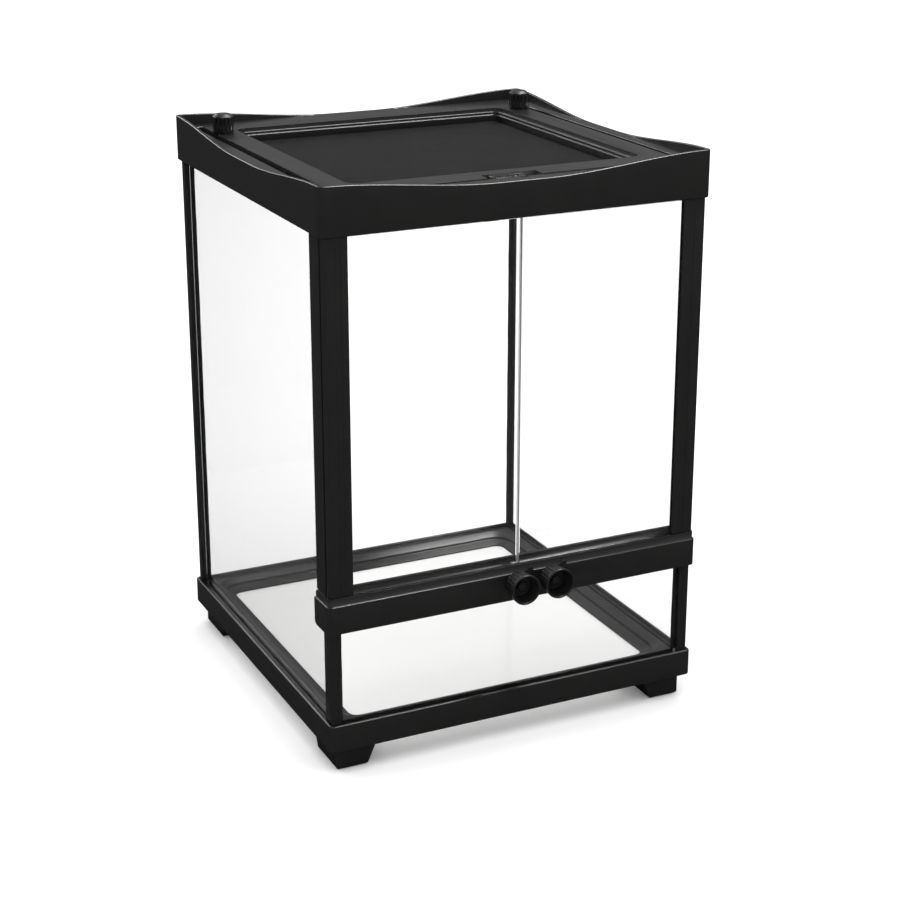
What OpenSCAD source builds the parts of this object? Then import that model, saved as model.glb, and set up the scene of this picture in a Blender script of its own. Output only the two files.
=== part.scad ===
// Glass terrarium with two front doors and a lift-off mesh lid.
// X runs to the right along the front, the front faces -Y, Z is up and the ground is at zero.

/* [Overall] */
// Outside width of the base and top frames
frame_w = 315; // [290:1:360]
// Outside depth of the base and top frames
frame_d = 315; // [290:1:360]
// Height of the top frame's corners above the ground
total_h = 450; // [400:1:520]
// Radius of the frames' upright outer corners
corner_r = 4.5; // [4:0.5:8]

/* [Glass] */
// Thickness of the fixed panes
pane_t = 4; // [3:0.5:4.5]
// Distance from the frames' outer faces in to the panes
pane_inset = 7.5; // [7:0.1:8.5]
// Play between a pane and the slot that holds it
pane_gap = 0.6; // [0.3:0.1:0.8]
// Silicone thickness between the edges of two panes
seam_t = 0.3; // [0.2:0.1:0.6]
// Leg of the silicone fillet in the upright corners
fillet_leg = 2.6; // [1.5:0.1:4]

/* [Feet] */
// Height of the feet
foot_h = 19.5; // [12:0.5:30]
// Reach of a foot along the front, from the frame's corner
foot_w = 41; // [32:1:54]
// Reach of a foot along the side, from the frame's corner
foot_d = 54; // [36:1:66]
// How far a foot's inner sides slope in
foot_taper = 8.5; // [4:0.5:12]
// Distance from the frame's outer faces in to a foot
foot_inset = 7.5; // [5:0.5:8]
// Radius of a foot's lower edges
foot_r = 3; // [1:0.5:4]
// Diameter of the pegs on a foot
peg_d = 5; // [4:0.5:5.5]
// Length of the pegs on a foot
peg_l = 6; // [4:0.5:7]

/* [Base frame] */
// Height of the base frame
base_h = 21.5; // [19:0.5:30]
// Thickness of the outer lip
lip_t = 3; // [2.5:0.1:4]
// Depth of the step inside the lip
lip_step = 2.5; // [1.5:0.1:4]
// Depth of the floor's top face below the lip
floor_drop = 10; // [9:0.5:12]
// Thickness of the plastic under the glass slot
slot_floor_t = 2.5; // [2:0.1:3]
// Reach of the inner flange from the outer face
flange_reach = 28.5; // [26:0.5:34]
// Radius of the flange's inner corners
flange_r = 7.5; // [5:0.5:12]
// Thickness of the flange at its inner edge
flange_edge_t = 1.4; // [1:0.1:2]
// Height of the step between the flange's two slopes
flange_step = 1.8; // [1:0.1:2.2]
// Thickness of the inner leg beside the slot
leg_t = 2.4; // [2:0.1:3]

/* [Front bar] */
// Height of the lower front window
window_h = 75; // [50:1:120]
// Height of the front bar
bar_h = 28; // [26:0.5:36]
// Height of the bar's set-back upper strip
bar_strip_h = 6.3; // [5:0.1:8]
// How far the upper strip is set back
bar_setback = 1.4; // [0.8:0.1:1.8]
// Reach of the bar round the corners, from the front face
return_l = 27; // [22:0.5:36]
// Radius of the returns' rear corners
return_r = 4; // [2:0.5:6]
// Height of the door stop behind the doors
stop_h = 5; // [3:0.5:7]
// Depth of the slot that holds the lower window
bar_slot = 7; // [5:0.5:8]

/* [Doors] */
// Width of a door's stile
stile_w = 19.5; // [16:0.5:24]
// Thickness of a door's stile
stile_t = 6.6; // [6.4:0.1:7]
// Distance from the frames' outer faces in to the stiles and posts
stile_inset = 2; // [1.8:0.1:2.2]
// Thickness of the door panes
door_pane_t = 4; // [3:0.5:4]
// How deep a door pane sits in its stile
door_grip = 11; // [8:0.5:12]
// Gap between the two door panes
door_split = 1.5; // [1:0.1:3]
// Gap above and below a door
door_gap = 0.5; // [0.4:0.1:1]
// Diameter of the hinge pins
pin_d = 3; // [2.5:0.1:3.2]
// Length of a hinge pin
pin_l = 19; // [14:0.5:24]
// Depth of a pin's bore in the bar and the top frame
pin_bore_l = 10; // [8:0.5:12]
// Radial play of the pins and spindles in their bores
running_gap = 0.05; // [0.03:0.01:0.1]
// Width of the shallow groove down a stile's face
groove_w = 4.6; // [3:0.1:6]
// Depth of that groove
groove_t = 0.4; // [0.2:0.1:0.6]
// Thickness of the fixed corner posts and of the trims' legs
post_t = 2.6; // [2.2:0.1:2.8]

/* [Corner trims] */
// Width of a lower front trim as seen from the front
trim_front_w = 7.3; // [6:0.1:9]
// Depth of a lower front trim along the side
trim_side_l = 14; // [12:0.5:24]
// Width of a back trim along the side
back_trim_side = 8; // [7:0.5:14]
// Width of a back trim along the back
back_trim_back = 7; // [7:0.5:14]

/* [Door knobs] */
// Place of the left knob along the front
left_knob_x = -4; // [-8:0.5:-3]
// Place of the right knob along the front
right_knob_x = 25; // [24:0.5:40]
// Depth of the knob axes below the bar's top
knob_drop = 12.5; // [12.5:0.1:14]
// Diameter of a knob at its rim
knob_d = 24; // [18:0.5:24]
// Diameter of a knob at the bar
knob_base_d = 19; // [15:0.5:22]
// Length of a knob
knob_l = 16.9; // [12:0.1:24]
// Thickness of a knob's rim wall
knob_wall = 1.5; // [1.2:0.1:2]
// Depth of the hollow in a knob
knob_hollow = 12.5; // [8:0.5:14]
// Number of flutes round a knob
flutes = 24; // [16:1:30]
// Radius of a flute
flute_r = 0.8; // [0.5:0.1:1]
// Diameter of a knob's spindle
spindle_d = 6; // [5:0.5:6.5]
// Length of the tongue from the spindle axis
tongue_l = 17; // [15:0.5:19]
// Width of the tongue
tongue_w = 5; // [4:0.5:6]
// Thickness of the tongue
tongue_t = 2.3; // [1.8:0.1:3]
// Angle of the tongue from upright when the door is free
tongue_rest = 55; // [52:1:75]
// Size across the flats of the spindle nuts
nut_w = 11; // [10:0.5:13]
// Thickness of the spindle nuts
nut_t = 3.2; // [2.5:0.1:4]

/* [Top frame] */
// Height of the top frame at its corners
top_h = 36.3; // [32:0.1:48]
// Height of the rim above the ledge at the corners
rim_h = 9; // [5:0.5:14]
// Thickness of the rim
rim_t = 3; // [2.5:0.1:4]
// Half length of the low middle of each side's rim
rim_low = 20; // [5:1:60]
// Distance from a frame's corner at which the rim is at full height
rim_end = 3; // [2:1:30]
// Depth of the lid's pocket below the ledge
pocket_drop = 9.5; // [9:0.1:12]
// Thickness of the flange under the lid
seat_t = 2.5; // [2:0.1:3]
// Reach of the flange under the lid from the outer face
seat_reach = 34; // [31:0.5:34]
// Reach of the side walls from the outer face in to the lid's pocket
side_wall = 12; // [11.8:0.1:13]
// Reach of the front and back walls from the outer face
front_wall = 13.5; // [13.4:0.1:15]

/* [Lid] */
// Groove between the lid and the top frame, left and right
side_groove = 6; // [4:0.1:6.5]
// Gap between the lid and the top frame, front and back
front_groove = 0.8; // [0.5:0.1:2]
// Height of the lid's top above the ledge
lid_proud = 0.5; // [0:0.1:1]
// Width of the lid's frame, left and right
lid_rail = 20; // [19:0.5:26]
// Width of the lid's frame, front and back
lid_end_rail = 24; // [23:0.5:30]
// Thickness of the lid's top plate
lid_t = 2.5; // [2:0.1:3]
// Thickness of the lid's skirt and recess walls
lid_wall = 2.5; // [2:0.1:3]
// Radius of the recess corners
recess_r = 9; // [7:0.5:14]
// Depth of the mesh below the lid's top
mesh_drop = 11; // [10:0.1:12]
// Thickness of the screen mesh
mesh_t = 0.6; // [0.4:0.1:1]
// Openings across the screen mesh, drawn coarser than its weave
mesh_cells = 12; // [4:1:12]
// Width of the strands between those openings
mesh_strand = 2; // [1:0.1:3]
// Play between the screen mesh and the recess walls
mesh_gap = 0.4; // [0.3:0.1:1]
// Gap between the two layers of strands
layer_gap = 0.04; // [0.02:0.01:0.1]
// Width of the retainer ring
retainer_w = 5; // [3:0.5:6]
// Height of the retainer ring
retainer_h = 7.9; // [3:0.1:8.4]

/* [Lid knobs and latch] */
// Diameter of the lid knobs
lid_knob_d = 16; // [14:0.5:17]
// Height of the lid knobs
lid_knob_h = 15; // [8:0.5:18]
// Distance of the lid knobs' axes from the lid's back edge
lid_knob_back = 35.2; // [31:0.1:48]
// Distance from a lid knob's axis to the lid's side edge
lid_knob_edge = 6.5; // [6.5:0.1:7]
// Diameter of a lid knob's shaft
lid_shaft_d = 5; // [4:0.5:5]
// Reach of the cam from a lid knob's axis
cam_l = 15; // [14.8:0.1:15.2]
// Width of the cam
cam_w = 6; // [4:0.5:6]
// Thickness of the cam
cam_t = 2.9; // [2.5:0.1:3]
// Length of the latch pocket along the lid's front edge
latch_pocket = 44; // [42:1:60]
// Width of the latch pocket
latch_pocket_w = 12; // [11:0.5:14]
// Length of the latch slide
latch_l = 26; // [24:0.5:28]
// Travel of the latch slide
latch_travel = 8; // [8:0.5:9]
// Number of ribs on the latch slide
latch_ribs = 8; // [4:1:9]

/* [Hidden] */

// Extra length that lets a cut run past a face
over = 1;
// Overlap of the shapes that are moulded as one piece
bond = 0.5;
// Play round a fixed pane, post or trim where it stands in a frame
fixed_play = 0.2;
// Gap kept between faces of pieces that move against each other
free_gap = 0.3;
// Plastic, rubber and metal colours
black = "#262626";
soft_black = "#1b1b1b";
glass_tint = "#cfe3e0";
steel = "#b9bcbf";

// Levels, upwards
base_z = foot_h;
base_top = base_z + base_h;
slot_z = base_top - floor_drop;
bar_z = base_top + window_h;
bar_top = bar_z + bar_h;
top_z = total_h - top_h;
ledge_z = total_h - rim_h;
seat_z = ledge_z - pocket_drop;
lid_top = ledge_z + lid_proud;
mesh_z = lid_top - mesh_drop;
lid_under = lid_top - lid_t;

// Depths from an outer face
slot_in = pane_inset - pane_gap;
pane_back = pane_inset + pane_t;
slot_out = pane_back + pane_gap;
leg_out = slot_out + leg_t;
trim_inset = lip_t + 0.1;
trim_leg = pane_inset - trim_inset - 0.1;
door_back = stile_inset + stile_t;
post_front = door_back + free_gap;
post_back = post_front + post_t;
side_front = post_back + seam_t;
axis_in = stile_inset + stile_t / 2;
door_pane_in = axis_in - door_pane_t / 2;
bar_back = pane_back + leg_t + 0.1;
post_front_l = stile_w - 4;
stop_half = frame_w / 2 - stile_inset - post_front_l - free_gap;
stop_t = 3;

// Door pins
pin_bore_r = pin_d / 2 + running_gap;
axis_x = frame_w / 2 - axis_in;
axis_y = -frame_d / 2 + axis_in;

// Door knobs
knob_z = bar_top - knob_drop;
knob_reach = free_gap + tongue_t + knob_l;
spindle_bore_r = spindle_d / 2 + running_gap;
knob_socket = 3.5;
press_play = 0.02;

// Lid, its pocket and its recess
pocket_w = frame_w - 2 * side_wall;
pocket_d = frame_d - 2 * front_wall;
lid_w = pocket_w - 2 * side_groove;
lid_d = pocket_d - 2 * front_groove;
recess_w = lid_w - 2 * lid_rail;
recess_d = lid_d - 2 * lid_end_rail;
shelf_t = 2;
shelf_in = retainer_w + 1;
lid_knob_x = lid_w / 2 - lid_knob_edge;
lid_knob_y = lid_d / 2 - lid_knob_back;
lid_socket = 6;
cam_top = lid_under - 1.9;
cam_floor = cam_top - cam_t;
cam_front = lid_knob_y - cam_l - free_gap;
cam_rear = lid_knob_y + cam_w / 2 + 1;
latch_floor = lid_top - 4;
latch_floor_t = 1.5;
latch_y = -lid_d / 2;
latch_tongue_w = 6;
latch_tongue_l = 3;
latch_tongue_t = 1.6;
latch_stem = 6;
latch_x = -latch_travel / 2;
notch_x = latch_x + latch_l / 2 - latch_tongue_w / 2 - 1;

// Puts the glass box in place, so that the whole object with its knobs is centred on the origin
module placed() {
  translate([0, knob_reach / 2, 0])
    children();
}

// Repeats a left-hand piece as its right-hand mirror image
module on_side(side) {
  if (side < 0)
    children();
  else
    mirror([1, 0, 0])
      children();
}

// Upright block with rounded corners, lying inset from the frames' outer faces
module block(inset, r, z0, z1) {
  w = frame_w - 2 * inset;
  d = frame_d - 2 * inset;
  plate(w, d, r, z0, z1);
}

// Upright block of the given width and depth, centred, with rounded corners
module plate(w, d, r, z0, z1) {
  translate([0, 0, z0])
    linear_extrude(height = z1 - z0)
      rounded_sheet(w, d, r);
}

// Centred rectangle with rounded corners
module rounded_sheet(w, d, r) {
  square([w - 2 * r, d], center = true);
  square([w, d - 2 * r], center = true);
  for (sx = [-1, 1])
    for (sy = [-1, 1])
      translate([sx * (w / 2 - r), sy * (d / 2 - r)])
        circle(r = r, $fn = 48);
}

// Ring between two insets
module ring(inset0, r0, inset1, r1, z0, z1) {
  difference() {
    block(inset0, r0, z0, z1);
    block(inset1, r1, z0 - over, z1 + over);
  }
}

// Box from its lowest to its highest corner
module box(lo, hi) {
  translate(lo)
    cube([hi[0] - lo[0], hi[1] - lo[1], hi[2] - lo[2]]);
}

// Base frame

// Depth of the flange's top below the lip
flange_drop = 1;

// Inner flange in section: distance from the outer face, then height
function flange_section() = let (
    top = base_top - flange_drop,
    first_in = slot_out + 1.4,
    step_in = first_in + (flange_reach - first_in) * 0.42,
    step_lean = 0.7,
    edge_top = slot_z + flange_edge_t,
    step_low = edge_top + 2.6
  ) [
    [slot_out, base_z], [slot_out, top], [first_in, top],
    [step_in, step_low + flange_step], [step_in + step_lean, step_low],
    [flange_reach, edge_top], [flange_reach, slot_z], [leg_out, slot_z], [leg_out, base_z]
  ];

// Sweeps a section round the frame, with inner corners of radius flange_r
module sweep_section(section) {
  turn_r = flange_reach + flange_r;
  for (side = [0, 1, 2, 3]) {
    wide = side % 2 == 0 ? frame_w : frame_d;
    deep = side % 2 == 0 ? frame_d : frame_w;
    rotate([0, 0, 90 * side]) {
      translate([-wide / 2 + turn_r, -deep / 2, 0])
        rotate([90, 0, 90])
          linear_extrude(height = wide - 2 * turn_r)
            polygon(section);
      translate([-wide / 2 + turn_r, -deep / 2 + turn_r, 0])
        rotate([0, 0, 180])
          rotate_extrude(angle = 90, $fn = 64)
            polygon([for (p = section) [turn_r - p[0], p[1]]]);
    }
  }
}

// Puts a piece that is drawn from the frame's front left corner into any corner
module in_corner(sx, sy) {
  translate([sx * frame_w / 2, sy * frame_d / 2, 0])
    mirror([sx > 0 ? 1 : 0, 0, 0])
      mirror([0, sy > 0 ? 1 : 0, 0])
        children();
}

// Solid corner under the slot that takes the two pegs of a foot
module foot_seat() {
  near = lip_t - bond;
  far = leg_out - bond;
  top = slot_z - 1;
  box([near, near, base_z], [foot_w, far, top]);
  box([near, near, base_z], [far, foot_d, top]);
}

// Places of a foot's two pegs, as distances from the frame's outer faces
peg_in = (slot_out + lip_t) / 2 + 3;
function pegs() = [[peg_in, foot_d - peg_in], [foot_w - peg_in, peg_in]];

module base_frame() {
  slot_low = slot_z - slot_floor_t;
  slot_top = base_top - lip_step;
  leg_in = slot_out + bond;
  color(black)
    placed()
      difference() {
        union() {
          ring(0, corner_r, lip_t, corner_r - lip_t, base_z, base_top);
          ring(bond, corner_r - bond, slot_in, 1, slot_low, slot_top);
          ring(bond, corner_r - bond, leg_in, 1, slot_low, slot_z);
          ring(slot_out, 0.8, leg_in, flange_reach + flange_r - leg_in, slot_low, base_top - flange_drop);
          sweep_section(flange_section());
          intersection() {
            for (sx = [-1, 1])
              for (sy = [-1, 1])
                in_corner(sx, sy)
                  foot_seat();
            block(bond, corner_r - bond, base_z, base_top);
          }
        }
        for (sx = [-1, 1])
          for (sy = [-1, 1])
            in_corner(sx, sy)
              for (p = pegs())
                translate([p[0], p[1], base_z - over])
                  cylinder(d = peg_d + 2 * running_gap, h = peg_l + bond + over, $fn = 32);
      }
}

// Feet

// Section of a foot along one side: distance from its outer face, then height
function foot_section(len) = [
  [0, foot_h],
  for (a = [180 : 15 : 270]) [foot_r + foot_r * cos(a), foot_r + foot_r * sin(a)],
  for (a = [270 : 10 : 330])
    [len - foot_taper - foot_r * 0.7 + foot_r * cos(a), foot_r + foot_r * sin(a)],
  [len, foot_h]
];

module foot(sx, sy) {
  color(soft_black)
    placed()
      in_corner(sx, sy) {
        intersection() {
          translate([foot_inset, foot_d + foot_inset, 0])
            rotate([90, 0, 0])
              linear_extrude(height = foot_d)
                polygon(foot_section(foot_w - foot_inset));
          translate([foot_inset, foot_inset, 0])
            rotate([90, 0, 90])
              linear_extrude(height = foot_w)
                polygon(foot_section(foot_d - foot_inset));
        }
        for (p = pegs())
          translate([p[0], p[1], foot_h - over])
            cylinder(d = peg_d, h = peg_l + over, $fn = 32);
      }
}

module front_left_foot() foot(-1, -1);
module front_right_foot() foot(1, -1);
module back_left_foot() foot(-1, 1);
module back_right_foot() foot(1, 1);

// Glass

glass_edge_x = frame_w / 2 - pane_inset;
glass_edge_y = frame_d / 2 - pane_inset;
pane_top = seat_z - 1;

// Floor pane, glued up against the flange from below
module floor_glass() {
  inset = leg_out + 0.5;
  color(glass_tint)
    placed()
      block(inset, flange_reach + flange_r - inset, slot_z - pane_t, slot_z);
}

// Bead of silicone under the floor pane's edge
module floor_seal() {
  bead = 2.5;
  under = slot_z - pane_t;
  color(soft_black)
    placed()
      sweep_section([[leg_out, under], [leg_out + bead, under], [leg_out + bead * 0.5, under - bead * 0.7],
                     [leg_out, under - bead]]);
}

module side_glass(side) {
  color(glass_tint)
    placed()
      on_side(side)
        box([-glass_edge_x, -frame_d / 2 + side_front, slot_z],
            [-glass_edge_x + pane_t, glass_edge_y, pane_top]);
}

module left_glass() side_glass(-1);
module right_glass() side_glass(1);

module back_glass() {
  half = glass_edge_x - pane_t - seam_t;
  color(glass_tint)
    placed()
      box([-half, glass_edge_y - pane_t, slot_z], [half, glass_edge_y, pane_top]);
}

// Lower window, in front of the side panes' front edges
module front_lower_glass() {
  back = side_front - seam_t;
  color(glass_tint)
    placed()
      box([-glass_edge_x, -frame_d / 2 + pane_inset, slot_z],
          [glass_edge_x, -frame_d / 2 + back, bar_z + bar_slot - 0.5]);
}

// Silicone fillet with a hollow face, along an upright glass corner
module fillet(x, y, sx, sy, z0, z1) {
  translate([x, y, z0])
    linear_extrude(height = z1 - z0)
      polygon([[0, 0], [sx * fillet_leg, 0], [sx * fillet_leg * 0.35, sy * fillet_leg * 0.35],
               [0, sy * fillet_leg]]);
}

module corner_seals() {
  x = glass_edge_x - pane_t;
  color(soft_black)
    placed()
      for (s = [-1, 1]) {
        fillet(s * x, glass_edge_y - pane_t, -s, -1, base_top - 1, top_z);
        fillet(s * x, -frame_d / 2 + side_front - seam_t, -s, 1, base_top - 1, bar_z);
      }
}

// Corner trims outside the glass, standing in the step of the base frame's lip

module angle_trim(x_len, y_len, z1) {
  edge_r = corner_r - trim_inset;
  z0 = base_top - lip_step;
  translate([trim_inset, trim_inset, z0])
    linear_extrude(height = z1 - z0)
      difference() {
        union() {
          translate([edge_r, 0])
            square([x_len - edge_r, trim_leg]);
          translate([0, edge_r])
            square([trim_leg, y_len - edge_r]);
          translate([edge_r, edge_r])
            circle(r = edge_r, $fn = 48);
        }
        translate([trim_leg, trim_leg])
          square([x_len, y_len]);
      }
}

module back_trim(side) {
  color(soft_black)
    placed()
      on_side(side)
        translate([-frame_w / 2, frame_d / 2, 0])
          mirror([0, 1, 0])
            angle_trim(back_trim_back, back_trim_side, top_z);
}

module back_left_trim() back_trim(-1);
module back_right_trim() back_trim(1);

module lower_trim(side) {
  color(soft_black)
    placed()
      on_side(side)
        translate([-frame_w / 2, -frame_d / 2, 0])
          angle_trim(trim_front_w, trim_side_l, bar_z);
}

module lower_left_trim() lower_trim(-1);
module lower_right_trim() lower_trim(1);

// Fixed corner posts above the bar: a channel over the front edge of each side pane

module post(side) {
  inner_leg_l = 11;
  inner_leg_t = post_t - 0.4;
  outer_leg_t = pane_inset - stile_inset - fixed_play;
  outer_leg_l = return_l - post_front - bond;
  color(soft_black)
    placed()
      on_side(side)
        translate([-frame_w / 2, -frame_d / 2, bar_top])
          linear_extrude(height = top_z - bar_top)
            union() {
              translate([stile_inset, post_front])
                square([post_front_l, post_t]);
              translate([stile_inset, post_front])
                square([outer_leg_t, outer_leg_l]);
              translate([pane_back + fixed_play, post_front])
                square([inner_leg_t, inner_leg_l]);
            }
}

module left_post() post(-1);
module right_post() post(1);

// Front bar

// Outline of the bar's end as seen from the side, with rounded rear corners
module return_outline() {
  translate([-frame_w, 0, 0])
    rotate([90, 0, 90])
      linear_extrude(height = 2 * frame_w)
        translate([-frame_d / 2, 0])
          union() {
            translate([-over, bar_z])
              square([return_l + over - return_r, bar_h]);
            translate([-over, bar_z + return_r])
              square([return_l + over, bar_h - 2 * return_r]);
            for (z = [bar_z + return_r, bar_top - return_r])
              translate([return_l - return_r, z])
                circle(r = return_r, $fn = 32);
          }
}

module front_bar() {
  side_in = pane_inset - fixed_play;
  shell_in = side_in - over;
  strip_z = bar_top - bar_strip_h;
  back_half = frame_w / 2 - pane_back - free_gap;
  core_half = back_half + pane_t + fixed_play;
  apron_lift = 2;
  front = -frame_d / 2;
  color(black)
    placed()
      difference() {
        union() {
          // Shell round both front corners, with its upper strip set back
          intersection() {
            union() {
              ring(0, corner_r, side_in, 0.3, bar_z, strip_z);
              ring(bar_setback, corner_r - bar_setback, side_in, 0.3, strip_z - bond, bar_top);
            }
            return_outline();
          }
          // Core over the lower window
          box([-core_half, front + shell_in, bar_z + bar_slot],
              [core_half, front + side_front - seam_t, bar_top]);
          box([-back_half, front + shell_in, bar_z + bar_slot], [back_half, front + bar_back, bar_top]);
          // Apron behind the lower window
          box([-back_half, front + pane_back + fixed_play, bar_z + apron_lift],
              [back_half, front + bar_back, bar_top]);
          // Stop behind the doors
          box([-stop_half, front + post_front, bar_top - over],
              [stop_half, front + post_front + stop_t, bar_top + stop_h]);
        }
        for (s = [-1, 1])
          translate([s * axis_x, axis_y, bar_top - pin_bore_l])
            cylinder(r = pin_bore_r, h = pin_bore_l + over, $fn = 32);
        for (x = [left_knob_x, right_knob_x])
          translate([x, front - over, knob_z])
            rotate([-90, 0, 0])
              cylinder(r = spindle_bore_r, h = bar_back + 2 * over, $fn = 48);
      }
}

// Doors

module door_stile(side) {
  edge_r = stile_t / 2;
  inner_r = 1;
  play = 0.1;
  z0 = bar_top + door_gap;
  z1 = top_z - door_gap;
  slot_l = door_grip + play;
  bore_l = pin_l - pin_bore_l + door_gap + bond;
  color(black)
    placed()
      on_side(side)
        translate([-frame_w / 2 + stile_inset, -frame_d / 2 + stile_inset, z0])
          difference() {
            linear_extrude(height = z1 - z0)
              difference() {
                union() {
                  translate([edge_r, edge_r])
                    circle(r = edge_r, $fn = 48);
                  translate([edge_r, 0])
                    square([stile_w - edge_r - inner_r, stile_t]);
                  translate([edge_r, inner_r])
                    square([stile_w - edge_r, stile_t - 2 * inner_r]);
                  for (y = [inner_r, stile_t - inner_r])
                    translate([stile_w - inner_r, y])
                      circle(r = inner_r, $fn = 24);
                }
                translate([stile_w - slot_l, (stile_t - door_pane_t) / 2 - play])
                  square([slot_l + over, door_pane_t + 2 * play]);
                translate([stile_w - slot_l + 1, -over])
                  square([groove_w, groove_t + over]);
              }
            for (z = [-over, z1 - z0 - bore_l])
              translate([edge_r, edge_r, z])
                cylinder(r = pin_bore_r, h = bore_l + over, $fn = 32);
          }
}

module left_door_stile() door_stile(-1);
module right_door_stile() door_stile(1);

module door_glass(side) {
  color(glass_tint)
    placed()
      on_side(side)
        box([-frame_w / 2 + stile_inset + stile_w - door_grip, -frame_d / 2 + door_pane_in,
             bar_top + door_gap],
            [-door_split / 2, -frame_d / 2 + door_pane_in + door_pane_t, top_z - door_gap]);
}

module left_door_glass() door_glass(-1);
module right_door_glass() door_glass(1);

module hinge_pins(side) {
  end_play = bond;
  z_low = bar_top - pin_bore_l + end_play;
  z_high = top_z + pin_bore_l - end_play - pin_l;
  color(steel)
    placed()
      for (z = [z_low, z_high])
        translate([side * axis_x, axis_y, z])
          cylinder(d = pin_d, h = pin_l, $fn = 32);
}

module left_hinge_pins() hinge_pins(-1);
module right_hinge_pins() hinge_pins(1);

// Door knobs

// Puts a piece on a knob's axis, with its own Z pointing out of the front
module on_knob(x) {
  placed()
    translate([x, -frame_d / 2, knob_z])
      rotate([90, 0, 0])
        children();
}

// Fluted cup, narrow at the bar, hollow from its rim, with a boss and a thin wall across the hollow
module knob(x) {
  back = free_gap + tongue_t;
  rim = back + knob_l;
  hollow_z = rim - knob_hollow;
  base_r = knob_base_d / 2;
  rim_r = knob_d / 2;
  lean = atan((rim_r - base_r) / knob_l);
  hollow_r = base_r + (rim_r - base_r) * (knob_l - knob_hollow) / knob_l - knob_wall;
  rim_band = 2;
  edge = 0.6;
  boss_r = 3.2;
  boss_h = 5;
  web_t = 1.2;
  web_h = 4;
  color(soft_black)
    on_knob(x)
      difference() {
        union() {
          difference() {
            rotate_extrude($fn = 72)
              polygon([[0, back], [base_r - edge, back], [base_r, back + edge], [rim_r, rim - rim_band],
                       [rim_r, rim - edge * 0.7], [rim_r - edge * 0.7, rim], [rim_r - knob_wall, rim],
                       [hollow_r, hollow_z], [0, hollow_z]]);
            for (i = [0 : flutes - 1])
              rotate([0, 0, 360 * i / flutes])
                translate([base_r + flute_r * 0.3, 0, back - over])
                  rotate([0, lean, 0])
                    cylinder(r = flute_r, h = knob_l - rim_band, $fn = 24);
          }
          translate([0, 0, hollow_z - over])
            cylinder(r = boss_r, h = boss_h + over, $fn = 32);
          translate([-web_t / 2, 0, hollow_z - over])
            cube([web_t, hollow_r + knob_wall / 2, web_h + over]);
        }
        translate([0, 0, back - over])
          cylinder(r = spindle_d / 2 + press_play, h = knob_socket + over, $fn = 48);
      }
}

module left_knob() knob(left_knob_x);
module right_knob() knob(right_knob_x);

// Spindle through the bar, with the tongue between the bar and the knob
module spindle(x) {
  tip_r = tongue_w / 2;
  disc_r = knob_base_d / 2 - 2.5;
  thread_end = bar_back + free_gap + nut_t + 1.2;
  color(soft_black)
    on_knob(x) {
      translate([0, 0, -thread_end])
        cylinder(d = spindle_d, h = thread_end + free_gap + tongue_t + knob_socket - 0.1, $fn = 48);
      translate([0, 0, free_gap])
        rotate([0, 0, 90 - tongue_rest])
          linear_extrude(height = tongue_t - 0.05)
            union() {
              translate([0, -tip_r])
                square([tongue_l - tip_r, tongue_w]);
              translate([tongue_l - tip_r, 0])
                circle(r = tip_r, $fn = 32);
              circle(r = disc_r, $fn = 48);
            }
    }
}

module left_spindle() spindle(left_knob_x);
module right_spindle() spindle(right_knob_x);

// Six-sided nut with its washer face, on the spindle behind the bar
module spindle_nut(x) {
  washer_t = 1;
  color(soft_black)
    on_knob(x)
      translate([0, 0, -(bar_back + free_gap + nut_t)])
        difference() {
          union() {
            cylinder(d = nut_w / cos(30), h = nut_t - washer_t + fixed_play, $fn = 6);
            translate([0, 0, nut_t - washer_t])
              cylinder(d = nut_w + 2.5, h = washer_t, $fn = 48);
          }
          translate([0, 0, -over])
            cylinder(r = spindle_d / 2 + press_play, h = nut_t + 2 * over, $fn = 48);
        }
}

module left_spindle_nut() spindle_nut(left_knob_x);
module right_spindle_nut() spindle_nut(right_knob_x);

// Top frame

// Height by which the rim is cut down, at a share of the way from its low middle to its high end
function rim_cut(share) = rim_h * (1 - (3 - 2 * share) * share * share);

// Cutter over the low middle of one side's rim, running through the wall
module rim_wave(length, depth) {
  steps = 24;
  rim_high = length / 2 - rim_end;
  half = [for (i = [0 : steps]) [rim_low + (rim_high - rim_low) * i / steps, rim_cut(i / steps)]];
  translate([0, -depth / 2 + rim_t + bond, 0])
    rotate([90, 0, 0])
      linear_extrude(height = rim_t + bond + over)
        polygon(concat(
          [for (p = half) [p[0], total_h - p[1]]],
          [[rim_high + 1, total_h + over], [-rim_high - 1, total_h + over]],
          [for (i = [steps : -1 : 0]) [-half[i][0], total_h - half[i][1]]]));
}

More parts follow.
